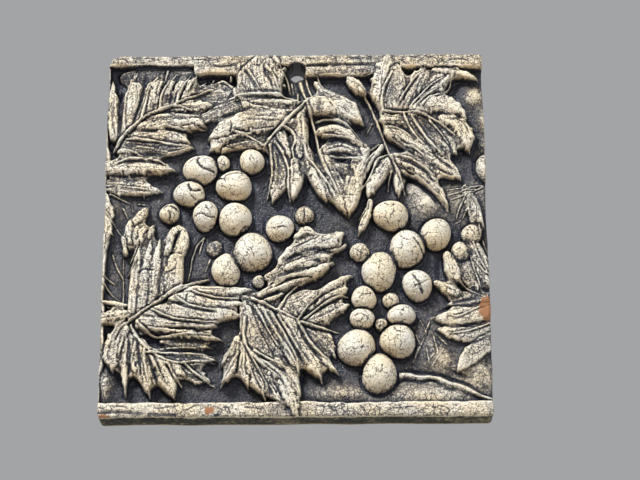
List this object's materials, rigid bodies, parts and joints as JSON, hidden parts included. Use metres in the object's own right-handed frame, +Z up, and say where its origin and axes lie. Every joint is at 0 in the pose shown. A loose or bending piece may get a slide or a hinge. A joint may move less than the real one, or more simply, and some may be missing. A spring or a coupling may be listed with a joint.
{
  "type": "relief tile",
  "caption": "Square pressed clay wall tile with vine leaves and bunches of grapes in relief between plain bars, with a hole to hang it by.",
  "frame": {"origin": "the middle of the flat back, which lies against the wall", "axes": "+Z up as the tile hangs, +X to the right of someone looking at the relief, the relief faces -Y and the back faces +Y"},
  "size_m": [0.152, 0.0159, 0.152],
  "materials": {
    "antiqued_clay": "cream slip over red clay, with a dark wash left in the hollows and rubbed off the high places"
  },
  "bodies": {
    "root": {"tile": "antiqued_clay"}
  },
  "joints": []
}
